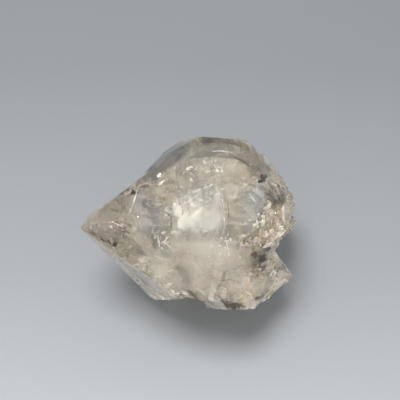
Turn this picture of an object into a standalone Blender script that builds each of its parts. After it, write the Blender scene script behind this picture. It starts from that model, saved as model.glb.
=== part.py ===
# Herkimer diamond: a natural, doubly terminated quartz crystal, one solid piece that lies on a small flat spot.
#
# How it is built:
#   1. every crystal individual is a block cut by the six prism faces and the two sets of six tip faces of quartz
#   2. the individuals are joined, and the broken end, chips, pits and contact marks are cut away
#   3. the flat spot is cut, and the origin goes to the middle of the footprint on the table
#
# Working positions are in mm from the middle of the main crystal: x right, y away, z up.

from math import cos, pi, radians, sin
from random import Random

import bmesh
import bpy
from mathutils import Matrix, Vector

MM = 0.001
TIP_ANGLE = radians(38.2136)   # how far a tip face leans from the prism face below it, fixed for quartz

# Main crystal
APOTHEM = 16.9                 # middle line to a prism face
HALF_PRISM = 5.6               # half the height of the prism faces
POSE = (18.82, 11.72, -62.28)  # left tip raised, turned about z, rolled about its own length, in degrees
TIP = APOTHEM * cos(TIP_ANGLE) + HALF_PRISM * sin(TIP_ANGLE)   # middle to a tip face

# Small crystal that sticks out low on the right
SMALL_APOTHEM = 6.6
SMALL_HALF_PRISM = 2.4
SMALL_POSE = (19.21, 4.18, -58.98)
SMALL_CENTRE = (6.1, -8.61, -1.79)
SMALL_TIP = SMALL_APOTHEM * cos(TIP_ANGLE) + SMALL_HALF_PRISM * sin(TIP_ANGLE)

FLAT_SPOT = 0.7                # how much of the lowest edge is worn flat
NAME = "quartz_crystal"


def empty_scene():
    for thing in list(bpy.data.objects):
        bpy.data.objects.remove(thing)
    parts = bpy.data.collections.new("Herkimer diamond")
    helpers = bpy.data.collections.new("Shapes it is made from")
    for group in (parts, helpers):
        bpy.context.scene.collection.children.link(group)
    return parts, helpers


def pose_matrix(pose):
    """From a crystal standing on its right tip, length along z, to how it lies."""
    raised, turned, rolled = (radians(angle) for angle in pose)
    return (Matrix.Rotation(turned, 3, "Z") @ Matrix.Rotation(raised - pi / 2, 3, "Y")
            @ Matrix.Rotation(rolled, 3, "Z"))


def quartz_faces(prism, left_tip, right_tip):
    """Faces of one individual as (outward direction, distance from its middle), six of each kind going round."""
    faces = []
    for k in range(6):
        across, along = cos(radians(60 * k)), sin(radians(60 * k))
        faces.append((Vector((across, along, 0)), prism[k]))
        for side, distance in ((1, left_tip[k]), (-1, right_tip[k])):
            lean = Vector((across * cos(TIP_ANGLE), along * cos(TIP_ANGLE), side * sin(TIP_ANGLE)))
            faces.append((lean, distance))
    return faces


def cut_block(faces, turn, centre):
    """A block with everything outside each face cut off, as a bmesh in mm."""
    block = bmesh.new()
    bmesh.ops.create_cube(block, size=140)
    for direction, distance in faces:
        bmesh.ops.bisect_plane(block, geom=block.verts[:] + block.edges[:] + block.faces[:],
                               plane_co=direction * distance, plane_no=direction, clear_outer=True)
        bmesh.ops.holes_fill(block, edges=[edge for edge in block.edges if edge.is_boundary])
    bmesh.ops.recalc_face_normals(block, faces=block.faces[:])
    block.transform(Matrix.Translation(centre) @ turn.to_4x4())
    return block


def helper(name, shape, group):
    """Turns a bmesh in mm into a helper object in metres that isn't part of the result."""
    shape.transform(Matrix.Scale(MM, 4))
    mesh = bpy.data.meshes.new(name)
    shape.to_mesh(mesh)
    shape.free()
    thing = bpy.data.objects.new(name, mesh)
    thing.hide_render = True
    thing.display_type = "WIRE"
    group.objects.link(thing)
    return thing


def individual(name, group, prism, left_tip, right_tip, more=(), pose=POSE, centre=(0, 0, 0)):
    faces = quartz_faces(prism, left_tip, right_tip)
    for direction, distance in more:
        faces.append((Vector(direction).normalized(), distance))
    return helper(name, cut_block(faces, pose_matrix(pose), Vector(centre)), group)


def patches(middle, push, size, seed, reach=15):
    """Where the flat patches of a break surface are, seen along the push direction, and how high each one is."""
    chance = Random(seed)
    found = []
    for _ in range(round((2 * reach / size) ** 2 * 1.6)):
        place = Vector([chance.uniform(-reach, reach) for _ in range(3)])
        found.append((middle + place - push * push.dot(place), chance.uniform(-1, 1)))
    return found


def break_block(name, group, through, facing, up, sides, cuts, patch_size, height, seed, two_faces=False):
    """A box with rough broken faces, for cutting. It fills the side of a point that "facing" looks to, and its near
    face is centred on the point, or with two faces it has its lower near edge there."""
    u = Vector(facing).normalized()
    w = u.cross(Vector(up)).normalized()
    v = w.cross(u)
    middle = Vector(through)
    push = (u + v * two_faces).normalized()
    marks = patches(middle, push, patch_size, seed)
    shape = bmesh.new()
    bmesh.ops.create_cube(shape, size=1)
    bmesh.ops.subdivide_edges(shape, edges=shape.edges[:], cuts=cuts, use_grid_fill=True)
    bmesh.ops.recalc_face_normals(shape, faces=shape.faces[:])
    for vert in shape.verts:
        x, y, z = vert.co
        place = middle + u * sides[0] * (x + 0.5) + v * sides[1] * (y + 0.5 * two_faces) + w * sides[2] * z
        depth = push.dot(place - middle)
        flat = place - push * depth
        high = min(marks, key=lambda mark: (mark[0] - flat).length_squared)[1]
        slow = sin(flat.x * 0.8 + seed) + sin(flat.y * 0.7 - flat.z * 0.4 + 2 * seed)
        vert.co = place + push * height * (high + 0.5 * slow) * max(0, 1 - depth / 45)
    bmesh.ops.triangulate(shape, faces=shape.faces[:])
    return helper(name, shape, group)


def scoop(name, group, centre, radii, seed, detail=3, rough=0.05, turn=(0, 0, 0)):
    """A slightly uneven egg, for cutting a shell-shaped chip."""
    shape = bmesh.new()
    bmesh.ops.create_icosphere(shape, subdivisions=detail, radius=1)
    for vert in shape.verts:
        x, y, z = vert.co
        uneven = sin(2.1 * x + 1.3 * y + seed) + sin(2.7 * y - 1.9 * z + 2 * seed) + 0.5 * sin(9 * x + 3 * z)
        vert.co *= 1 + rough * uneven
    spin = Matrix.Rotation(radians(turn[2]), 4, "Z") @ Matrix.Rotation(radians(turn[1]), 4, "Y") @ Matrix.Rotation(
        radians(turn[0]), 4, "X")
    shape.transform(Matrix.Translation(Vector(centre)) @ spin @ Matrix.Diagonal((*radii, 1)))
    return helper(name, shape, group)


def combine(base, things, operation):
    for thing in things:
        step = base.modifiers.new(operation.lower() + " " + thing.name, "BOOLEAN")
        step.operation = operation
        step.solver = "EXACT"
        step.object = thing


def settled(source):
    """The finished mesh: flat spot cut, on the table, origin in the middle of the footprint."""
    graph = bpy.context.evaluated_depsgraph_get()
    mesh = bpy.data.meshes.new_from_object(source.evaluated_get(graph))
    mesh.name = NAME
    shape = bmesh.new()
    shape.from_mesh(mesh)
    floor = min(vert.co.z for vert in shape.verts) + FLAT_SPOT * MM
    bmesh.ops.bisect_plane(shape, geom=shape.verts[:] + shape.edges[:] + shape.faces[:],
                           plane_co=(0, 0, floor), plane_no=(0, 0, -1), clear_outer=True)
    bmesh.ops.holes_fill(shape, edges=[edge for edge in shape.edges if edge.is_boundary])
    low = [min(vert.co[i] for vert in shape.verts) for i in range(3)]
    high = [max(vert.co[i] for vert in shape.verts) for i in range(3)]
    shape.transform(Matrix.Translation((-(low[0] + high[0]) / 2, -(low[1] + high[1]) / 2, -low[2])))
    bmesh.ops.triangulate(shape, faces=shape.faces[:])
    shape.to_mesh(mesh)
    shape.free()
    return mesh


def quartz_material():
    material = bpy.data.materials.new("smoky clear quartz")
    material.use_nodes = True
    surface = material.node_tree.nodes["Principled BSDF"]
    surface.inputs["Base Color"].default_value = (0.86, 0.82, 0.74, 1)
    surface.inputs["Roughness"].default_value = 0.06
    surface.inputs["IOR"].default_value = 1.544
    surface.inputs["Transmission Weight"].default_value = 1
    return material


parts, helpers = empty_scene()

# Main crystal. The faces are numbered round its length, the first one facing front and down.
main = individual(
    "main", helpers,
    prism=[APOTHEM, APOTHEM, APOTHEM - 2.2, APOTHEM - 0.5, APOTHEM, APOTHEM - 3.0],
    left_tip=[TIP, TIP, TIP + 0.75, TIP, TIP + 0.3, TIP],
    right_tip=[TIP - 0.5, TIP - 0.4, TIP - 0.5, TIP - 0.6, TIP - 0.2, TIP - 0.5],
    more=[((-0.613, 0.612, 0.5), 15.23)],
)

# Parallel growth behind it: a second layer that shows as the upper edge and the lens-shaped facet.
behind = individual(
    "behind", helpers,
    prism=[APOTHEM - 1.2, APOTHEM - 0.7, APOTHEM + 3.0, APOTHEM + 0.6, APOTHEM + 0.4, APOTHEM - 4.2],
    left_tip=[TIP - 2.0, TIP - 0.6, TIP + 3.0, TIP + 0.8, TIP - 1.0, TIP - 2.5],
    right_tip=[TIP - 1.5, TIP - 1.6, TIP - 0.1, TIP + 0.1, TIP - 0.8, TIP - 1.0],
    more=[
        ((-0.364, 0.581, 0.728), 17.55),
        ((-0.395, 0.728, 0.560), 18.15),
        ((-0.447, 0.895, 0.0), 17.986),
        ((-0.026, 0.934, -0.357), 19.15),
        ((0.199, 0.814, -0.545), 17.6),
        ((-0.868, 0.066, 0.493), 13.896),
    ],
)

# Ledges of parallel growth: on the front, on the upper left tip face, and on the sides that face away and down.
front_ledge = individual(
    "front ledge", helpers,
    prism=[APOTHEM + 0.35, APOTHEM - 3, APOTHEM - 6, APOTHEM - 6, APOTHEM - 1.2, APOTHEM - 1.3],
    left_tip=[TIP - 1.2, TIP - 3, TIP - 6, TIP - 6, TIP - 3, TIP - 3.9],
    right_tip=[TIP - 0.9, TIP - 2, TIP - 4, TIP - 4, TIP - 1.5, TIP - 1.3],
    more=[((-0.834, 0.55, -0.027), -13.82)],
)
tip_plate = individual(
    "tip plate", helpers,
    prism=[APOTHEM - 2, APOTHEM - 0.6, APOTHEM - 2.9, APOTHEM - 5, APOTHEM - 5, APOTHEM - 5],
    left_tip=[TIP - 1.5, TIP + 0.3, TIP - 0.9, TIP - 5, TIP - 5, TIP - 5],
    right_tip=[TIP - 5] * 6,
    more=[
        ((-0.200, 0.200, 0.959), 18.49),
        ((-0.088, -0.996, -0.028), -6.19),
        ((-0.081, -0.226, -0.971), -13.77),
    ],
)
back_ledge = individual(
    "back ledge", helpers,
    prism=[APOTHEM - 5, APOTHEM - 5, APOTHEM - 1.5, APOTHEM + 0.9, APOTHEM - 1.4, APOTHEM - 5],
    left_tip=[TIP - 6, TIP - 6, TIP - 2.4, TIP - 2.2, TIP - 3.1, TIP - 6],
    right_tip=[TIP - 5, TIP - 5, TIP - 1.0, TIP + 0.5, TIP - 2, TIP - 5],
)
low_ledge = individual(
    "low ledge", helpers,
    prism=[APOTHEM - 6, APOTHEM - 6, APOTHEM - 6, APOTHEM - 2.5, APOTHEM + 0.45, APOTHEM - 4.4],
    left_tip=[TIP - 8, TIP - 8, TIP - 8, TIP - 2.2, TIP - 1.6, TIP - 5.5],
    right_tip=[TIP - 6, TIP - 6, TIP - 6, TIP - 1.4, TIP + 0.2, TIP - 2.2],
)

# The broken right end: two break surfaces, a nick above them and the notch above the small crystal.
ridge_break = break_block(
    "ridge break", helpers, through=(9.3, -6.6, 15.0), facing=(0.85, -0.14, 0.53), up=(0, 0.819, 0.574),
    sides=(14, 26, 26), cuts=26, patch_size=2.6, height=0.6, seed=1,
)
end_break = break_block(
    "end break", helpers, through=(14.8, -1.03, 8.0), facing=(0.987, -0.045, 0.153), up=(0, 0.819, 0.574),
    sides=(18, 38, 38), cuts=32, patch_size=3.0, height=0.6, seed=4,
)
nick = scoop("nick", helpers, centre=(15.2, 6.5, 7.2), radii=(1.3, 6, 1.3), seed=3, turn=(-55, 0, 0))
notch = break_block(
    "notch", helpers, through=(10.1, -8.5, 5.2), facing=(0.643, -0.628, -0.439), up=(0.731, 0.559, 0.391),
    sides=(22, 26, 46), cuts=30, patch_size=3.0, height=0.6, seed=2, two_faces=True,
)

# Shell-shaped chips along the lower edge and at corners on the back.
chips = [
    scoop("chip 1", helpers, (-4.9, -15.2, -9.3), (5.0, 24.0, 5.2), seed=5, detail=4, rough=0.03, turn=(-61.8, 0, 1.6)),
    scoop("chip 2", helpers, (-14.2, 19.2, -3.2), (7.6, 7.8, 7.2), seed=7, detail=4, rough=0.02),
    scoop("chip 3", helpers, (5.5, 25.2, -2.4), (8.6, 8.4, 8.8), seed=8, detail=4, rough=0.02),
    scoop("chip 4", helpers, (-16.7, -13.7, -15.1), (8.3, 8.2, 8.3), seed=9, detail=4, rough=0.02),
]

small = individual(
    "small crystal", helpers,
    prism=[SMALL_APOTHEM, SMALL_APOTHEM, SMALL_APOTHEM + 0.6, SMALL_APOTHEM, SMALL_APOTHEM, SMALL_APOTHEM - 0.4],
    left_tip=[SMALL_TIP] * 6,
    right_tip=[SMALL_TIP, SMALL_TIP + 0.3, SMALL_TIP + 0.4, SMALL_TIP, SMALL_TIP, SMALL_TIP],
    pose=SMALL_POSE, centre=SMALL_CENTRE,
)

crystal = main.copy()
crystal.name = "joined"
helpers.objects.link(crystal)
combine(crystal, [behind, tip_plate, back_ledge, low_ledge], "UNION")
combine(crystal, chips, "DIFFERENCE")
combine(crystal, [front_ledge], "UNION")
combine(crystal, [ridge_break, end_break, nick, notch], "DIFFERENCE")
combine(crystal, [small], "UNION")

finished = bpy.data.objects.new(NAME, settled(crystal))
finished.data.materials.clear()
finished.data.materials.append(quartz_material())
parts.objects.link(finished)
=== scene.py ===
"""Looks of the Herkimer diamond: a clear, warm, heavily veiled quartz crystal on a pale floor.

Lengths are in mm, in the frame of the CAD, but those of the floor, the lights and the materials are in metres. A place
that was read from the photograph is given as a pixel and as how far behind the crystal's skin it lies.
"""

from itertools import product
from math import ceil, cos, pi, radians, sin
from random import Random

import bmesh
import bpy
import numpy as np
from mathutils import Matrix, Vector
from mathutils.bvhtree import BVHTree
from mathutils.geometry import delaunay_2d_cdt


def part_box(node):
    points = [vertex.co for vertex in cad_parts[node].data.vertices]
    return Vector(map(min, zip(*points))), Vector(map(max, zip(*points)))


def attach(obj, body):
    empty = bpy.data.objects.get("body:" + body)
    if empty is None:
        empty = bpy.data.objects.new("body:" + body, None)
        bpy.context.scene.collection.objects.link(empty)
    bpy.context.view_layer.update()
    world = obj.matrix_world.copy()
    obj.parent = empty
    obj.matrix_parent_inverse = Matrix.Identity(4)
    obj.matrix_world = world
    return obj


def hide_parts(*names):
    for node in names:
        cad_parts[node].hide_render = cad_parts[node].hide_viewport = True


MM = 0.001
NODE = "quartz_crystal"

# Camera: 55 degrees above the table, 200 mm from its target
ELEVATION = radians(55)
DISTANCE = 200.0
TARGET = Vector((1.4207, 3.4205, 22.0187))
TOWARDS = Vector((0, -cos(ELEVATION), sin(ELEVATION)))
UP = Vector((0, sin(ELEVATION), cos(ELEVATION)))
RIGHT = Vector((1, 0, 0))
EYE = TARGET + TOWARDS * DISTANCE
LENS, SENSOR = 90.0, 36.0
WIDTH = 400                                   # of the photograph, in pixels
PIXEL = DISTANCE * SENSOR / LENS / WIDTH      # size of a pixel in the plane through the target

# Fine mesh of the crystal
STEP = 0.38                   # length of its edges
ROW = 0.866                   # height of a triangle with sides of 1
CLEAR = 0.45                  # part of STEP that inner points keep away from a face's edge
FLAT = radians(0.4)           # faces of the CAD that bend less than this are taken as one
GROWN_AREA = 6.0              # larger faces of the CAD are grown ones, in mm2
CHIP_BEND = radians(11)       # small faces that bend less than this make up a shell-shaped chip
CHIP_WHOLE = 0.85             # such a chip is nearly as smooth as a grown face
EVENED = 3                    # times that the change from grown to broken is evened out
CREASE = radians(22)          # edges that bend more than this stay crisp
FOOT, LIFT = 0.02, 0.01       # what lies below FOOT is the flat that it rests on, and all else stays above LIFT

# Relief of the skin
WAVES = ((0.06, 9, 1), (0.035, 3.2, 2), (0.008, 1.3, 4))      # height, width, seed
TERRACE_WIDTH, TERRACE_SEED = 5, 3
TERRACES, TERRACE_HEIGHT = 4, 0.018                           # growth steps to a wave, and the height of one
FACETS = ((3.6, 0.42, 0.20, 21), (2.1, 0.22, 0.05, 31))       # where it is broken: width, slope, height, seed

# Places inside the crystal. One with less room than THINNEST moves up towards the skin until it has more: its depth
# is cut to SHALLOWER of what it was, again and again, but not once it is below LEAST_DEPTH.
THINNEST, SHALLOWER, LEAST_DEPTH = 0.02, 0.7, 0.01
SLANT = Vector((0.31, 0.24, 0.92)).normalized()       # a direction along no face, for counting crossings
MAX_CROSSINGS, PAST_CROSSING = 20, 1e-4

# Flakes. A point of one with less room than FLAKE_COVER moves in to SHRINK of its reach, again and again, but not once
# that is below LEAST_REACH.
FLAKE_COVER, SHRINK, LEAST_REACH = 0.1, 0.8, 0.05
MIDDLE_COVER = 0.25           # room that a flake's middle needs
OVERHANG = 1.7                # most of a flake's radius to the room of its middle
RIPPLE = 0.4                  # uneven part of a flake's bend
TRIES = 30                    # places tried for each flake

# Veils
VEILS, VEIL_SEED = 130, 11
VEIL_RINGS, VEIL_SPOKES = 5, 18
VEIL_COVER, VEIL_OVERHANG = 1.2, 1.15                 # as for a flake
VEIL_RADII, VEIL_STRETCHES, VEIL_BENDS = (3, 9), (0.4, 0.9), (-0.35, 0.35)
HARD_EVERY = 4                # every fourth veil has a hard rim, and the others fade
HARD_RIM, SOFT_RIM = (1.0, 1.0), (0.55, 0.0)          # solidity of the last two rings

# Patches and streaks
PATCH_RINGS, PATCH_TRIES = 6, 40
PATCH_FADE = 3.0              # a soft patch fades over the outer third of its width
STREAK_DEPTH = 0.3
STREAK_PARTS = 6              # parts of a streak between two of its pixels
STREAK_TAPER = 0.75           # how much narrower a streak is at its ends
STREAK_GAP = 3                # a streak is cut where the skin jumps this far

# Quartz
QUARTZ_IOR = 1.544
CLEAR_TINT, STAIN_TINT = (0.985, 0.965, 0.93), (0.78, 0.65, 0.49)
ABSORBED_COLOUR, ABSORBED_DENSITY = (0.82, 0.71, 0.50, 1), 12.0
STAIN_START, STAIN_FULL = 0.009, 0.020       # X in metres: the staining grows towards the broken end
BROKEN_STAIN, MOST_STAIN = 0.45, 0.35
SMOOTH, BROKEN_ROUGH, PATCHY_ROUGH = 0.02, 0.06, 0.12        # parts that add up to the roughness

# Sockets of the Mix node for colours
SHARE, FIRST_COLOUR, SECOND_COLOUR, MIXED_COLOUR = 0, 6, 7, 2

# Random numbers
PRIMES = (73856093, 19349663, 83492791)
SEED_FACTOR = 2654435761
MASK = np.uint64(0xFFFFFFFF)
NOISE_GAIN = 1.5


# Random numbers in space, the same at each run

def mixed(grid, seed):
    """Whole-number cells to well mixed 32-bit numbers."""
    h = np.zeros(grid.shape[:-1], np.uint64)
    for axis, prime in enumerate(PRIMES):
        h ^= grid[..., axis].astype(np.uint64) * np.uint64(prime)
    h = (h + np.uint64(seed * SEED_FACTOR % 2 ** 32)) & MASK
    for shift, factor in ((16, 0x7FEB352D), (15, 0x846CA68B), (16, 1)):
        h = ((h ^ (h >> np.uint64(shift))) * np.uint64(factor)) & MASK
    return h


def unit(grid, seed):
    """A value from -1 to 1 for each whole-number cell."""
    return mixed(grid, seed).astype(float) / 2 ** 32 * 2 - 1


def noise(points, size, seed):
    """Smooth random values from about -1 to 1, with features this many mm across."""
    p = points / size
    low = np.floor(p).astype(np.int64)
    f = p - low
    s = f * f * f * (f * (f * 6 - 15) + 10)
    total = np.zeros(len(points))
    for corner in product((0, 1), repeat=3):
        cell = low + corner
        slope = sum(unit(cell, seed + 11 * k) * (f[:, k] - corner[k]) for k in range(3))
        total += slope * np.prod(np.where(corner, s, 1 - s), axis=1)
    return total * NOISE_GAIN


def nearest_cell(points, size, seed):
    """For each point, its offset from the nearest of many scattered middles, and that one's own three values."""
    p = points / size
    low = np.floor(p).astype(np.int64)
    best = np.full(len(points), 1e9)
    offset = np.zeros_like(p)
    value = np.zeros((len(points), 3))
    for step in product((-1, 0, 1), repeat=3):
        cell = low + step
        middle = cell + 0.5 + 0.5 * np.stack([unit(cell, seed + k) for k in range(3)], 1)
        away = p - middle
        far = np.linalg.norm(away, axis=1)
        near = far < best
        best = np.where(near, far, best)
        offset[near] = away[near]
        value[near] = np.stack([unit(cell, seed + 7 + k) for k in range(3)], 1)[near]
    return offset * size, value


# Mesh of the crystal

def crystal_mesh(source):
    """The solid's points and triangles, evenly fine, and how far each point is broken rather than grown."""
    shape = bmesh.new()
    shape.from_mesh(source)
    shape.transform(Matrix.Scale(1 / MM, 4))
    bmesh.ops.remove_doubles(shape, verts=shape.verts[:], dist=1e-4)
    bmesh.ops.dissolve_limit(shape, angle_limit=FLAT, verts=shape.verts[:], edges=shape.edges[:])
    split_edges(shape)
    shape.verts.index_update()
    points = [vert.co.copy() for vert in shape.verts]
    whole = [0.0] * len(points)
    triangles = []
    for face in shape.faces:
        bends = sorted(edge.calc_face_angle(0) for edge in face.edges)
        if face.calc_area() > GROWN_AREA:
            grown = 1.0
        else:
            grown = CHIP_WHOLE if bends[len(bends) // 2] < CHIP_BEND else 0.0
        rim = [vert.index for vert in face.verts]
        for index, vert in zip(rim, face.verts):
            whole[index] += grown / len(vert.link_faces)
        inner, corners = filled(face)
        numbers = rim + [len(points) + k for k in range(len(inner))]
        points += inner
        whole += [grown] * len(inner)
        triangles += [[numbers[corner] for corner in three] for three in corners]
    shape.free()
    return np.array(points), triangles, 1 - np.array(whole)


def split_edges(shape):
    """Cuts each edge into equal parts no longer than STEP."""
    for edge in shape.edges[:]:
        rest = edge
        for left in range(ceil(edge.calc_length() / STEP), 1, -1):
            start = rest.verts[0]
            new_edge, _ = bmesh.utils.edge_split(rest, start, 1 / left)
            if start in rest.verts:
                rest = new_edge


def filled(face):
    """Points inside a face, and its triangles, with corners numbered along the rim and then through those points."""
    across = face.normal.orthogonal().normalized()
    along = face.normal.cross(across)
    middle = face.calc_center_median()
    rim = np.array([((vert.co - middle).dot(across), (vert.co - middle).dot(along)) for vert in face.verts])
    inner = inside_points(rim)
    _, _, triangles, origins, _, _ = delaunay_2d_cdt([Vector(p) for p in np.vstack([rim, inner])], [],
                                                     [list(range(len(rim)))], 1, 1e-6)
    corners = [[origins[corner] for corner in three] for three in triangles]
    return ([middle + across * x + along * y for x, y in inner],
            [[origin[0] for origin in three] for three in corners if all(three)])


def inside_points(rim):
    """Points on a triangular grid inside a flat outline, clear of its edge."""
    low, high = rim.min(0), rim.max(0)
    rows = np.arange(low[1] + STEP / 2, high[1], STEP * ROW)
    grid = np.array([(x + (k % 2) * STEP / 2, y) for k, y in enumerate(rows) for x in np.arange(low[0], high[0], STEP)])
    if not len(grid):
        return np.zeros((0, 2))
    inside = np.zeros(len(grid), bool)
    near = np.full(len(grid), 1e9)
    for (ax, ay), (bx, by) in zip(rim, np.roll(rim, -1, 0)):
        crosses = (grid[:, 1] < ay) != (grid[:, 1] < by)
        if ay != by:
            inside ^= crosses & (grid[:, 0] < (bx - ax) * (grid[:, 1] - ay) / (by - ay) + ax)
        edge = np.array([bx - ax, by - ay])
        share = np.clip((grid - (ax, ay)) @ edge / max(edge @ edge, 1e-12), 0, 1)
        near = np.minimum(near, np.linalg.norm(grid - (ax, ay) - share[:, None] * edge, axis=1))
    return grid[inside & (near > STEP * CLEAR)]


def spread(values, pairs, times):
    """Evens a value out over neighbouring points."""
    for _ in range(times):
        total, number = values.copy(), np.ones(len(values))
        for a, b in ((0, 1), (1, 0)):
            np.add.at(total, pairs[:, a], values[pairs[:, b]])
            np.add.at(number, pairs[:, a], 1)
        values = total / number
    return values


def relief(points, broken):
    """How far each point of the surface moves outwards."""
    waves = sum(height * noise(points, width, seed) for height, width, seed in WAVES)
    terraces = noise(points, TERRACE_WIDTH, TERRACE_SEED) * TERRACES
    steps = TERRACE_HEIGHT * (terraces - np.abs((terraces % 1) - 0.5))
    chipped = np.zeros(len(points))
    for width, slope, height, seed in FACETS:
        offset, value = nearest_cell(points, width, seed)
        chipped += slope * np.einsum("ij,ij->i", offset, value) + height * value[:, 0]
    return waves + steps + broken * chipped


def make_crystal(node):
    """The crystal's finished skin, with the point attribute "broken" for its material."""
    points, triangles, broken = crystal_mesh(node.data)
    mesh = bpy.data.meshes.new("crystal_skin")
    mesh.from_pydata((points * MM).tolist(), [], triangles)
    pairs = np.zeros(len(mesh.edges) * 2, np.int32)
    mesh.edges.foreach_get("vertices", pairs)
    broken = spread(broken, pairs.reshape(-1, 2), EVENED)
    normals = np.array([normal.vector for normal in mesh.vertex_normals])
    moved = points + normals * relief(points, broken)[:, None]
    moved[:, 2] = np.where(points[:, 2] < FOOT, points[:, 2], np.maximum(moved[:, 2], LIFT))
    mesh.vertices.foreach_set("co", (moved * MM).ravel())
    mesh.attributes.new("broken", "FLOAT", "POINT").data.foreach_set("value", broken)
    mesh.shade_smooth()
    mesh.set_sharp_from_angle(angle=CREASE)
    mesh.update()
    return linked(bpy.data.objects.new("crystal_skin", mesh))


def linked(thing):
    bpy.context.scene.collection.objects.link(thing)
    return thing


# What is inside. "solid" is the crystal's finished skin for casting rays, made further down.

def beneath(x, y, below):
    """The place this far behind the skin where a pixel of the photograph shows it, or None beside the crystal.

    Where the crystal is too thin for that, the place lies less deep.
    """
    seen = TARGET + RIGHT * (x - WIDTH / 2) * PIXEL + UP * (WIDTH / 2 - y) * PIXEL
    along = (seen - EYE).normalized()
    hit = solid.ray_cast(EYE, along)[0]
    if hit is None:
        return None
    while below > LEAST_DEPTH and room(hit + along * below) < THINNEST:
        below *= SHALLOWER
    return hit + along * below


def room(place):
    """How far a place in the crystal is from its skin, or 0 outside."""
    crossings, start = 0, place
    while start is not None and crossings < MAX_CROSSINGS:
        start = solid.ray_cast(start, SLANT)[0]
        if start is not None:
            crossings += 1
            start = start + SLANT * PAST_CROSSING
    return solid.find_nearest(place)[3] if crossings % 2 else 0.0


def random_direction(chance):
    while True:
        found = Vector([chance.uniform(-1, 1) for _ in range(3)])
        if 0.1 < found.length < 1:
            return found.normalized()


def fan(number, rings):
    """Faces of a sheet whose points are its middle and then each ring, from the inside out."""
    faces = []
    for k in range(number):
        after = (k + 1) % number
        faces.append((0, 1 + k, 1 + after))
        for ring in range(rings - 1):
            low = 1 + ring * number
            faces.append((low + k, low + number + k, low + number + after, low + after))
    return faces


def add_flake(buffer, centre, facing, radius, chance, stretch=0.6, bend=0.2, rings=2, spokes=11, ragged=0.45):
    """One irregular, slightly bent flake, smaller where it would come near the skin."""
    points, faces = buffer
    facing = facing.normalized()
    u = facing.orthogonal()
    u.rotate(Matrix.Rotation(chance.uniform(0, 2 * pi), 3, facing))
    v = facing.cross(u)
    # Two more phases are drawn than used: without them every later draw would differ
    phase = [chance.uniform(0, 2 * pi) for _ in range(4)]
    uneven = [1 - ragged * chance.random() for _ in range(spokes)]
    first = len(points)
    points.append(centre)
    for ring in range(1, rings + 1):
        for k in range(spokes):
            angle = 2 * pi * (k + 0.5 * (ring % 2)) / spokes
            r = ring / rings * (uneven[k] * ring + rings - ring) / rings
            x, y = r * cos(angle), r * sin(angle) * stretch
            up = bend * (x * x - y * y + RIPPLE * sin(3 * x + phase[0]) * sin(4 * y + phase[1]))
            away = (u * x + v * y + facing * up) * radius
            while room(centre + away) < FLAKE_COVER and away.length > LEAST_REACH:
                away *= SHRINK
            points.append(centre + away)
    faces += [tuple(first + corner for corner in face) for face in fan(spokes, rings)]


def inner_piece(name, buffer, material, solidity=None):
    """A piece of sheets inside the crystal. Solidity is how much of it shows at each point."""
    points, faces = buffer
    mesh = bpy.data.meshes.new(name)
    mesh.from_pydata([tuple(point * MM) for point in points], [], faces)
    mesh.attributes.new("solidity", "FLOAT", "POINT").data.foreach_set("value", solidity or [1.0] * len(points))
    mesh.materials.append(material)
    mesh.shade_smooth()
    piece = linked(bpy.data.objects.new(name, mesh))
    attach(piece, "root")


def scattered(chance, outline, number, below):
    """Places behind the skin, at random within an outline of pixels."""
    xs, ys = zip(*outline)
    found = []
    for _ in range(number * TRIES):
        if len(found) == number:
            break
        x, y = chance.uniform(min(xs), max(xs)), chance.uniform(min(ys), max(ys))
        inside = False
        for (ax, ay), (bx, by) in zip(outline, outline[1:] + outline[:1]):
            if (y < ay) != (y < by) and x < (bx - ax) * (y - ay) / (by - ay) + ax:
                inside = not inside
        place = beneath(x, y, chance.uniform(*below)) if inside else None
        if place is not None and room(place) > MIDDLE_COVER:
            found.append(place)
    return found


def flakes(name, material, seed, groups):
    """One piece of many flakes. A group is (outline, number, depths, radii, main direction, how mixed, shape)."""
    chance = Random(seed)
    buffer = ([], [])
    for outline, number, below, radii, facing, mixed_up, shape in groups:
        for place in scattered(chance, outline, number, below):
            radius = min(chance.uniform(*radii), room(place) * OVERHANG)
            add_flake(buffer, place, Vector(facing) + random_direction(chance) * mixed_up, radius, chance, **shape)
    inner_piece(name, buffer, material)


def streaks(name, material, lines):
    """Narrow strips behind the skin. A line is (width in pixels, pixels along it)."""
    points, faces = [], []
    for width, line in lines:
        fine = [(ax + (bx - ax) * k / STREAK_PARTS, ay + (by - ay) * k / STREAK_PARTS)
                for (ax, ay), (bx, by) in zip(line, line[1:]) for k in range(STREAK_PARTS)] + [line[-1]]
        for k, (x, y) in enumerate(fine):
            (ax, ay), (bx, by) = fine[max(k - 1, 0)], fine[min(k + 1, len(fine) - 1)]
            narrowed = 1 - STREAK_TAPER * abs(2 * k / (len(fine) - 1) - 1)
            across = Vector((ay - by, bx - ax)).normalized() * width / 2 * narrowed
            pair = [beneath(x + across.x * side, y + across.y * side, STREAK_DEPTH) for side in (-1, 1)]
            if None in pair:
                continue
            points += pair
            if k and len(points) > 3 and (points[-1] - points[-3]).length < STREAK_GAP:
                faces.append((len(points) - 4, len(points) - 3, len(points) - 1, len(points) - 2))
    inner_piece(name, (points, faces), material)


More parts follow.
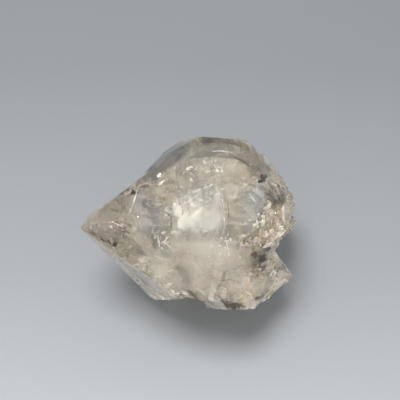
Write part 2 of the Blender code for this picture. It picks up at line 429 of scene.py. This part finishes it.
def veils(material):
    """Cloudy healed cracks: thin curved sheets through the whole crystal."""
    chance = Random(VEIL_SEED)
    buffer = ([], [])
    low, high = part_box(NODE)
    solidity = []
    made = 0
    while made < VEILS:
        place = Vector([chance.uniform(low[i], high[i]) / MM for i in range(3)])
        space = room(place)
        if space < VEIL_COVER:
            continue
        made += 1
        add_flake(buffer, place, random_direction(chance), min(chance.uniform(*VEIL_RADII), space * VEIL_OVERHANG),
                  chance, stretch=chance.uniform(*VEIL_STRETCHES), bend=chance.uniform(*VEIL_BENDS),
                  rings=VEIL_RINGS, spokes=VEIL_SPOKES)
        outer, rim = SOFT_RIM if made % HARD_EVERY else HARD_RIM
        solidity += [1.0] * (1 + (VEIL_RINGS - 2) * VEIL_SPOKES) + [outer] * VEIL_SPOKES + [rim] * VEIL_SPOKES
    inner_piece("veils", buffer, material, solidity)


def patch(name, outline, below, material, soft=True):
    """A sheet that follows the skin at this depth, with this outline of pixels."""
    mx, my = (sum(values) / len(outline) for values in zip(*outline))
    points = [beneath(mx, my, below)]
    for ring in range(1, PATCH_RINGS + 1):
        for x, y in outline:
            share = ring / PATCH_RINGS
            # A corner beside the crystal moves towards the middle
            tries = (beneath(mx + (x - mx) * share * k / PATCH_TRIES, my + (y - my) * share * k / PATCH_TRIES, below)
                     for k in range(PATCH_TRIES, -1, -1))
            points.append(next(place for place in tries if place is not None))
    solidity = [1.0] + [min(1.0, PATCH_FADE * (1 - ring / PATCH_RINGS)) if soft else 1.0
                        for ring in range(1, PATCH_RINGS + 1) for _ in outline]
    inner_piece(name, (points, fan(len(outline), PATCH_RINGS)), material, solidity)


# Materials

def new_material(name):
    material = bpy.data.materials.new(name)
    material.use_nodes = True
    tree = material.node_tree
    return material, tree, tree.nodes["Principled BSDF"]


def set_inputs(node, values):
    """Gives each socket, by name or number, a plain value or a link from another node's socket."""
    for key, value in values.items():
        if isinstance(value, bpy.types.NodeSocket):
            node.id_data.links.new(value, node.inputs[key])
        else:
            node.inputs[key].default_value = value


def add(tree, kind, inputs=None, **settings):
    """A new node with these inputs and settings."""
    node = tree.nodes.new("ShaderNode" + kind)
    for key, value in settings.items():
        setattr(node, key, value)
    set_inputs(node, inputs or {})
    return node


def coordinate(tree, space, axis):
    """One coordinate of the place that is shaded."""
    return add(tree, "SeparateXYZ", {0: add(tree, "TexCoord").outputs[space]}).outputs[axis]


def object_noise(tree, scale, detail=4.0, rough=0.55, distortion=0.0):
    """Noise in the object's own space, with this many features to a metre."""
    made = add(tree, "TexNoise", {"Vector": add(tree, "TexCoord").outputs["Object"], "Scale": scale, "Detail": detail,
                                  "Roughness": rough, "Distortion": distortion})
    return made.outputs["Fac"]


def ramp(tree, value, low, high, out_low=0.0, out_high=1.0):
    """A value that goes from one number to another while the input goes from low to high."""
    made = add(tree, "MapRange", {"Value": value, "From Min": low, "From Max": high, "To Min": out_low,
                                  "To Max": out_high})
    return made.outputs["Result"]


def maths(tree, operation, a, b):
    return add(tree, "Math", {0: a, 1: b}, operation=operation).outputs[0]


def blend(tree, share, first, second):
    """A colour between two others."""
    mix = add(tree, "Mix", data_type="RGBA")
    set_inputs(mix, {SHARE: share, FIRST_COLOUR: (*first, 1), SECOND_COLOUR: (*second, 1)})
    return mix.outputs[MIXED_COLOUR]


def crystal_material():
    """Clear quartz, stained where it is broken and at the broken end, and a little rough there."""
    material, tree, surface = new_material("quartz")
    broken = add(tree, "Attribute", attribute_name="broken").outputs["Fac"]
    right_end = ramp(tree, coordinate(tree, "Object", "X"), STAIN_START, STAIN_FULL)
    spots = ramp(tree, object_noise(tree, scale=170, detail=3, rough=0.5, distortion=0.8), 0.45, 0.62)
    stained = maths(tree, "MULTIPLY", maths(tree, "ADD", maths(tree, "MULTIPLY", broken, BROKEN_STAIN), right_end),
                    spots)
    patchy = ramp(tree, object_noise(tree, scale=160, detail=2), 0.5, 0.75, 0.0, PATCHY_ROUGH)
    rough = maths(tree, "ADD", patchy, maths(tree, "MULTIPLY", broken, BROKEN_ROUGH))
    bump = add(tree, "Bump", {"Height": object_noise(tree, scale=300, detail=2), "Strength": 0.10,
                              "Distance": 0.0002})
    set_inputs(surface, {
        "Transmission Weight": 1.0,
        "IOR": QUARTZ_IOR,
        "Base Color": blend(tree, maths(tree, "MINIMUM", stained, MOST_STAIN), CLEAR_TINT, STAIN_TINT),
        "Roughness": maths(tree, "ADD", rough, SMOOTH),
        "Normal": bump.outputs["Normal"],
    })
    inside = add(tree, "VolumeAbsorption", {"Color": ABSORBED_COLOUR, "Density": ABSORBED_DENSITY})
    set_inputs(tree.nodes["Material Output"], {"Volume": inside.outputs["Volume"]})
    return material


def sheet_material(name, colour, roughness, metallic, scale, between, shown, second=None, detail=1.5):
    """For something thin inside the crystal, patchy by a noise with this many features to a metre.

    Between two values of the noise, how much of it shows goes from the first part to the second one.
    """
    material, tree, surface = new_material(name)
    patchy = ramp(tree, object_noise(tree, scale, detail, rough=0.4, distortion=0.6), *between, *shown)
    solidity = add(tree, "Attribute", attribute_name="solidity").outputs["Fac"]
    set_inputs(surface, {"Base Color": (*colour, 1), "Roughness": roughness, "Metallic": metallic,
                         "Alpha": maths(tree, "MULTIPLY", patchy, solidity)})
    if second:
        grain = ramp(tree, object_noise(tree, scale=400, detail=4), 0.4, 0.6)
        set_inputs(surface, {"Base Color": blend(tree, grain, colour, second)})
    return material


# Surroundings

def stage():
    """A pale floor that darkens towards the back."""
    mesh = bpy.data.meshes.new("floor")
    shape = bmesh.new()
    bmesh.ops.create_grid(shape, x_segments=1, y_segments=1, size=1.5)
    shape.to_mesh(mesh)
    shape.free()
    floor = linked(bpy.data.objects.new("floor", mesh))
    material, tree, surface = new_material("pale floor")
    shades = add(tree, "ValToRGB", {"Fac": ramp(tree, coordinate(tree, "Object", "Y"), -0.05, 0.06)})
    stops = shades.color_ramp.elements
    stops.new(0.45)
    for stop, colour in zip(stops, ((0.262, 0.270, 0.279), (0.185, 0.193, 0.202), (0.142, 0.149, 0.158))):
        stop.color = (*colour, 1)
    set_inputs(surface, {"Base Color": shades.outputs["Color"], "Roughness": 0.7})
    mesh.materials.append(material)


def lights():
    """A soft room that is brightest overhead, a key light above the crystal and a weak one in front."""
    world = bpy.data.worlds.new("soft room")
    bpy.context.scene.world = world
    world.use_nodes = True
    tree = world.node_tree
    height = ramp(tree, coordinate(tree, "Generated", "Z"), 0.0, 0.85)
    set_inputs(tree.nodes["Background"], {"Color": blend(tree, height, (0.15, 0.15, 0.155), (0.96, 0.98, 1.0)),
                                          "Strength": 1.04})
    for name, place, size, power in (("key", (-0.05, -0.035, 0.42), 0.18, 2.5),
                                     ("front fill", (-0.05, -0.26, 0.34), 0.26, 0.35)):
        data = bpy.data.lights.new(name, "AREA")
        data.shape = "DISK"
        data.size = size
        data.energy = power
        light = linked(bpy.data.objects.new(name, data))
        light.location = place
        light.rotation_euler = (Vector((0, 0, 0.015)) - light.location).to_track_quat("-Z", "Y").to_euler()


def camera():
    data = bpy.data.cameras.new("camera")
    data.lens = LENS
    data.sensor_width = SENSOR
    data.clip_start, data.clip_end = 0.01, 10
    eye = linked(bpy.data.objects.new("camera", data))
    eye.location = EYE * MM
    eye.rotation_euler = (pi / 2 - ELEVATION, 0, 0)
    bpy.context.scene.camera = eye


def render_look():
    scene = bpy.context.scene
    scene.view_settings.view_transform = "Standard"
    scene.cycles.max_bounces = 24
    scene.cycles.transmission_bounces = 24
    scene.cycles.glossy_bounces = 12
    scene.cycles.diffuse_bounces = 6
    scene.cycles.transparent_max_bounces = 48
    scene.cycles.sample_clamp_indirect = 4
    scene.cycles.use_denoising = True


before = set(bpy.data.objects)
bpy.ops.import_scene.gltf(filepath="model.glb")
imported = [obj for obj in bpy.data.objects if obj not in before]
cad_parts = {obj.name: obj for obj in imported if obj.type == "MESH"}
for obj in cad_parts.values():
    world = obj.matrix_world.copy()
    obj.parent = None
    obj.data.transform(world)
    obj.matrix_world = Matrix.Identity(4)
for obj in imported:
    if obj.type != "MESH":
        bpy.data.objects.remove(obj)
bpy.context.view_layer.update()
camera()
lights()
stage()
render_look()

crystal = make_crystal(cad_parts[NODE])
crystal.data.materials.append(crystal_material())
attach(crystal, "root")
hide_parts(NODE)

solid = BVHTree.FromPolygons([vert.co / MM for vert in crystal.data.vertices],
                             [list(face.vertices) for face in crystal.data.polygons])

# Materials of the sheets: colour, roughness, metallic, features of the noise to a metre, two values of the noise, how
# much of the sheet shows at each, and for some a second colour
veil = sheet_material("veil", (1.0, 0.955, 0.865), 0.8, 0.0, 170, (0.38, 0.68), (0.03, 0.44))
# Brown-black sheets: a real stain in the flakes at the broken end, and painted shade in the strips along edges
dark = sheet_material("brown-black stain and painted shade", (0.10, 0.065, 0.04), 0.6, 0.0, 380, (0.42, 0.56), (0.05, 0.85))
# Painted glint: near-white crack sheets whose colour stands in for sparkles, also used for the bright lower-left rim
bright = sheet_material("crack with painted glint", (0.99, 0.97, 0.93), 0.25, 0.3, 1100, (0.45, 0.54), (0.06, 1.0), detail=2.5)
# Painted highlight for bright strips along edges
painted_rim_highlight = sheet_material("painted edge highlight", (1.0, 0.98, 0.94), 0.3, 0.1, 500, (0.36, 0.5), (0.2, 0.85))
# Cream sheets: real cream flakes at the broken end, and a painted highlight along the lower-right edge
cream = sheet_material("cream flake and painted highlight", (1.0, 0.94, 0.82), 0.35, 0.2, 420, (0.42, 0.56), (0.1, 0.95))
# Cream facets at the broken end, their whiter parts painted highlights, and painted highlights on the small crystal's
# rim
facet = sheet_material("cream facet and painted highlight", (1.0, 0.955, 0.89), 0.3, 0.1, 300, (0.4, 0.6), (0.9, 1.0), (0.78, 0.63, 0.47))
bright_plane = sheet_material("bright plane", (0.97, 0.96, 0.95), 0.6, 0.0, 200, (0.36, 0.66), (0.16, 0.46))
cream_plane = sheet_material("cream plane", (0.99, 0.97, 0.88), 0.6, 0.0, 330, (0.36, 0.60), (0.22, 0.80))
gold = sheet_material("brown stain", (0.24, 0.16, 0.10), 0.55, 0.1, 300, (0.44, 0.60), (0.0, 0.7), (0.50, 0.39, 0.27))
# Painted shade: a dark sheet for the top band and the upper-left face by the tip
painted_shade_sheet = sheet_material("painted shade zone", (0.10, 0.09, 0.065), 0.8, 0.0, 160, (0.3, 0.7), (0.34, 0.58))
# Painted shade: a dark grey sheet under the lens-shaped facet
haze = sheet_material("painted grey shade", (0.085, 0.085, 0.081), 0.7, 0.0, 120, (0.3, 0.7), (0.60, 0.90))
umber = sheet_material("umber zone", (0.11, 0.075, 0.05), 0.6, 0.0, 330, (0.38, 0.62), (0.12, 0.85))
# Painted shade in olive: the dark inside of the small crystal and the chip in the lower edge
olive = sheet_material("painted olive shade", (0.13, 0.122, 0.08), 0.6, 0.0, 170, (0.36, 0.64), (0.08, 0.50))
tan = sheet_material("tan ground", (1.0, 0.91, 0.77), 0.5, 0.0, 260, (0.38, 0.62), (0.25, 0.85))
milky = sheet_material("milky layer", (1.0, 0.96, 0.88), 0.7, 0.0, 110, (0.36, 0.66), (0.20, 0.50))
beige = sheet_material("beige haze", (0.42, 0.36, 0.29), 0.7, 0.0, 260, (0.35, 0.65), (0.15, 0.75))
lilac = sheet_material("lilac haze", (0.50, 0.465, 0.46), 0.7, 0.0, 90, (0.35, 0.65), (0.15, 0.60))
# Painted reflection: a pale blue sheet for the blue-grey sheen of a smooth face
painted_blue_reflection = sheet_material("painted blue reflection", (0.58, 0.65, 0.70), 0.7, 0.0, 90, (0.35, 0.65), (0.08, 0.40))
carbon, _, coal = new_material("carbon speck")
set_inputs(coal, {"Base Color": (0.035, 0.028, 0.02, 1), "Roughness": 0.6})

# Shapes of flakes
WIDE = dict(stretch=0.7, bend=0.25)
JAGGED = dict(stretch=0.45, bend=0.15, spokes=9, ragged=0.8)
THIN = dict(stretch=0.3, bend=0.1, spokes=9)
SHARP = dict(stretch=0.36, bend=0.05, rings=1, spokes=5, ragged=0.6)
BODY = [(90, 226), (138, 190), (180, 160), (250, 160), (274, 180), (284, 215), (264, 244), (276, 276), (248, 300),
        (205, 300), (150, 292), (110, 256)]

veils(veil)
# Real cracks inside, coloured as painted white sparkles where the crystal glitters
flakes("painted_crack_glints", bright, 21, [
    (BODY, 90, (0.5, 4), (0.2, 1.1), (0, 0, 1), 1.5, JAGGED),
    ([(170, 168), (216, 160), (226, 175), (214, 232), (168, 232), (164, 200)], 50, (0.4, 3), (0.3, 1.1),
     (0, -0.3, 1), 1.0, JAGGED),
    ([(203, 161), (222, 161), (222, 173), (203, 173)], 34, (0.3, 1.6), (0.25, 0.8), (0, 0, 1), 1.2, JAGGED),
    ([(182, 188), (212, 190), (212, 206), (182, 202)], 30, (0.3, 1.6), (0.3, 1.1), (0, 0, 1), 1.2, JAGGED),
    ([(166, 206), (176, 204), (178, 216), (166, 218)], 10, (0.3, 1.6), (0.3, 0.9), (0, 0, 1), 1.0, JAGGED),
    ([(150, 228), (168, 230), (174, 246), (158, 246)], 16, (0.4, 2.0), (0.4, 1.3), (0, 0, 1), 0.8, JAGGED),
    ([(212, 238), (230, 236), (232, 262), (208, 264)], 90, (0.25, 1.6), (0.10, 0.34), (0, -0.5, 1), 1.0, WIDE),
    ([(88, 224), (124, 220), (128, 244), (104, 246)], 60, (0.25, 1.6), (0.15, 0.5), (0, -0.5, 1), 1.0, JAGGED),
    ([(240, 182), (270, 186), (268, 226), (240, 226)], 34, (0.4, 2), (0.2, 0.8), (0.3, -0.3, 1), 0.8, THIN),
    ([(240, 270), (286, 268), (286, 286), (246, 306)], 16, (0.3, 1.5), (0.3, 0.9), (0.4, -0.6, 0.6), 1.0, THIN),
])
flakes("cream_flakes", cream, 22, [
    ([(264, 206), (282, 204), (286, 222), (270, 243), (256, 240)], 60, (0.2, 1.6), (0.4, 1.1), (0.5, -0.4, 1), 1.0,
     WIDE),
    ([(236, 232), (262, 236), (262, 250), (238, 248)], 40, (0.2, 1.5), (0.2, 0.6), (0.3, -0.5, 1), 1.0, WIDE),
    ([(150, 268), (176, 262), (176, 290), (156, 292)], 24, (0.5, 3), (0.5, 1.5), (-0.2, -0.7, 0.5), 0.7, JAGGED),
    ([(240, 274), (272, 272), (268, 286), (246, 300)], 26, (0.2, 1.5), (0.5, 1.5), (0.3, -0.7, 0.5), 0.7, WIDE),
])
# Broken facets at the right end, cream, their whiter parts painted highlights
flakes("cream_facets", facet, 23, [
    ([(265, 206), (280, 204), (284, 212), (283, 228), (270, 243), (258, 240)], 85, (0.3, 1.2), (0.5, 1.7),
     (0.5, -0.4, 1), 0.9, SHARP),
    ([(264, 180), (286, 186), (290, 206), (268, 206)], 14, (0.1, 0.6), (0.3, 0.7), (0.5, -0.4, 1), 0.9, SHARP),
    ([(238, 234), (262, 238), (262, 248), (240, 246)], 16, (0.1, 0.8), (0.2, 0.5), (0.3, -0.5, 1), 1.0, SHARP),
    ([(262, 280), (278, 278), (272, 288), (258, 296)], 7, (0.5, 1.4), (0.6, 1.5), (0.4, -0.7, 0.5), 0.6, SHARP),
    ([(240, 278), (258, 276), (258, 290), (244, 296)], 7, (0.5, 1.4), (0.6, 1.5), (0.2, -0.7, 0.5), 0.6, SHARP),
    ([(264, 238), (274, 236), (276, 242), (266, 248)], 12, (0.15, 0.6), (0.3, 0.9), (0.4, -0.6, 0.6), 0.6, SHARP),
    ([(280, 268), (291, 272), (290, 284), (276, 290)], 10, (0.1, 0.6), (0.3, 0.8), (0.5, -0.6, 0.6), 0.8, SHARP),
    ([(246, 264), (262, 264), (262, 276), (248, 276)], 8, (0.2, 0.8), (0.3, 0.7), (0.2, -0.6, 0.8), 0.8, SHARP),
])
patch("bright_plane", [(221, 174), (225, 203), (227, 234), (206, 236), (190, 236), (189, 214), (192, 194), (203, 180)],
      1.2, bright_plane)
patch("cream_plane", [(204, 198), (209, 214), (206, 234), (188, 237), (168, 237), (170, 212), (176, 196), (190, 190)],
      0.9, cream_plane)
flakes("dark_stains", dark, 32, [
    ([(268, 182), (284, 186), (289, 204), (270, 206), (266, 192)], 34, (0.15, 1.2), (0.5, 1.3), (0.6, -0.2, 0.8), 1.0,
     WIDE),
    ([(262, 208), (286, 204), (284, 226), (270, 242), (258, 238)], 34, (0.15, 0.9), (0.2, 0.6), (0.6, -0.2, 0.8), 1.0,
     SHARP),
    ([(252, 251), (265, 250), (275, 262), (260, 269)], 18, (0.5, 2.5), (0.2, 0.9), (0.3, -0.5, 0.8), 0.9, WIDE),
    ([(256, 290), (272, 287), (266, 295), (252, 300)], 22, (0.2, 1.2), (0.2, 0.8), (0.3, -0.7, 0.5), 0.8, THIN),
    ([(226, 304), (246, 302), (244, 310), (228, 310)], 16, (0.3, 1.5), (0.3, 0.9), (0.1, -0.7, 0.5), 0.8, THIN),
])
flakes("stains", gold, 31, [
    ([(266, 180), (290, 186), (292, 225), (270, 243), (256, 236), (264, 205)], 50, (0.2, 3), (0.4, 1.5),
     (0.6, -0.2, 0.8), 1.2, WIDE),
    ([(232, 232), (268, 236), (266, 252), (236, 250)], 22, (0.3, 3), (0.2, 0.8), (0.2, -0.6, 0.8), 1.0, WIDE),
    ([(262, 262), (288, 268), (284, 288), (262, 298)], 16, (0.3, 3), (0.4, 1.2), (0.4, -0.6, 0.6), 1.0, WIDE),
    ([(236, 150), (262, 160), (282, 178), (262, 182), (240, 168)], 30, (0.6, 4), (0.3, 1.2), (0.2, 0.2, 1), 0.8, THIN),
    ([(100, 230), (124, 236), (146, 256), (122, 252)], 12, (0.6, 3), (0.3, 1.0), (-0.3, -0.6, 0.8), 0.8, THIN),
])
# Painted shade along the top band and its top edge
patch("painted_shade_top", [(182, 138), (205, 136), (242, 137), (266, 156), (280, 176), (262, 176), (246, 162), (205, 158),
                    (176, 161)], 0.8, painted_shade_sheet)
patch("painted_shade_rim", [(196, 138.5), (238, 140), (250, 147), (246, 149), (236, 143), (198, 142)], 0.25, painted_shade_sheet)
# Painted shade that darkens the lens-shaped facet by the silhouette
patch("painted_shade_lens", [(136, 184), (148, 167), (162, 152), (184, 138), (195, 145), (186, 158), (170, 169), (152, 184)],
      0.15, haze)
patch("umber_break", [(268, 183), (276, 182), (283, 189), (288, 199), (285, 206), (276, 208), (268, 204), (265, 194)],
      0.5, umber)
patch("umber_wedge", [(224, 304), (234, 302), (243, 302.5), (246, 306), (242, 308.5), (232, 309)], 0.3, umber)
patch("umber_streak", [(254, 299), (261, 293), (270, 289), (271, 291), (263, 297), (256, 301)], 0.3, umber, soft=False)
# Painted shade: the dark inside of the small crystal at the lower right, and the chip below
patch("painted_shade_small_crystal", [(247, 254), (256, 247), (266, 249), (276, 260), (284, 270), (275, 277), (260, 274), (249, 268)],
      0.5, olive)
patch("painted_shade_chip", [(188, 289), (197, 292), (204, 305), (198, 303), (192, 297)], 0.5, olive)
patch("tan_break", [(265, 206), (276, 208), (284, 207), (288, 214), (284, 227), (270, 243), (257, 240), (262, 222)],
      1.3, tan)
patch("tan_core", [(238, 275), (256, 272), (272, 275), (278, 281), (264, 294), (248, 303), (238, 292)], 0.6, tan)
patch("milky_low", [(136, 250), (170, 234), (218, 232), (246, 242), (250, 270), (240, 294), (205, 297), (166, 294),
                    (142, 280)], 0.8, milky)
patch("beige_tip", [(88, 224), (104, 219), (122, 221), (130, 236), (128, 248), (112, 248), (98, 238)], 0.9, beige)
patch("brown_left", [(112, 240), (128, 240), (150, 246), (160, 254), (146, 260), (128, 256)], 1.0, beige)
patch("lilac_left", [(130, 196), (146, 188), (166, 196), (172, 214), (168, 232), (150, 240), (134, 232), (126, 214)],
      1.0, lilac)
# Painted highlight: white speckles along the lower-left rim
patch("painted_highlight_sliver", [(108, 254), (120, 262), (140, 279), (157, 295), (148, 293), (132, 280), (116, 265)], 0.15, bright,
      soft=False)
# Painted reflection of the blue-grey room on the smooth face at the right
patch("painted_reflection_panel", [(243, 188), (256, 184), (266, 185), (267, 198), (262, 212), (257, 230), (246, 236), (239, 214)],
      0.7, painted_blue_reflection)
patch("pale_right", [(283, 199), (289, 202), (292, 212), (290, 224), (283, 226), (281, 212)], 0.6, milky)
# Painted highlights on the small crystal's tip, fin and lower-right edge
patch("painted_highlight_tip", [(279, 270), (284, 270.5), (289, 275), (284, 279), (279, 282), (278, 276)], 0.15, facet, soft=False)
patch("painted_highlight_fin", [(266, 244), (276, 235), (285, 229), (286, 231), (278, 239), (268, 247)], 0.3, facet, soft=False)
patch("painted_highlight_edge", [(256, 302), (271, 289), (286, 276.5), (288, 275.5), (286, 278), (271, 291), (257, 304)], 0.12,
      cream, soft=False)
# Painted shade on the upper-left face by the tip
patch("painted_shade_tip", [(92, 218), (122, 190), (134, 182), (126, 212), (112, 222)], 0.8, painted_shade_sheet)
# Painted highlights: bright strips along the facet edges and the chipped lower rim
streaks("painted_highlight_lines", painted_rim_highlight, [
    (1.6, [(137.5, 190), (134, 202), (129.5, 213)]), (1.3, [(208, 152), (220, 151), (233, 153)]),
    (1.2, [(219, 180), (223, 205), (225, 230)]), (1.4, [(250, 299), (270, 291), (289, 281)]),
    (1.1, [(98, 224), (112, 222), (123, 227)]), (1.0, [(250, 196), (256, 203)]),
    (1.2, [(183, 206), (200, 193), (214, 184)]), (1.0, [(226, 240), (230, 262)]), (1.2, [(270, 246), (278, 254)]),
    (1.3, [(118, 264), (134, 279), (150, 294)]), (1.4, [(152, 295), (166, 297), (178, 293), (190, 294)]),
    (1.0, [(139, 186), (147, 183), (154, 178)]), (1.0, [(197, 288), (214, 300), (224, 303)]),
])
# Painted shade: dark strips along facet edges, the top edge, the chip and a growth step
streaks("painted_shade_lines", dark, [
    (1.7, [(136.5, 180), (130, 196), (125.5, 212)]), (1.5, [(171, 214), (171.5, 222), (171, 231)]),
    (1.0, [(205, 279), (213, 277.5), (221, 281), (230, 279), (240, 283)]),
    (1.2, [(226, 192), (228.5, 212), (229, 231)]),
    (2.0, [(188, 289), (195, 296), (203, 305)]), (1.6, [(252, 298), (262, 295), (272, 288)]),
    (1.3, [(150, 290), (136, 272), (116, 256)]), (1.6, [(198, 139.5), (218, 139), (238, 140.5)]),
    (1.4, [(161, 166.5), (170, 158), (180, 148)]),
])
flakes("carbon", carbon, 41, [
    ([(261, 175.5), (266.5, 175.5), (266.5, 179), (261, 179)], 14, (0.5, 1.1), (0.25, 0.55), (0.2, -0.5, 0.8), 0.8,
     WIDE),
    ([(257, 182), (263, 181), (263, 185), (257, 185.5)], 7, (1.2, 2.6), (0.2, 0.5), (0.2, -0.5, 0.8), 0.8, WIDE),
])
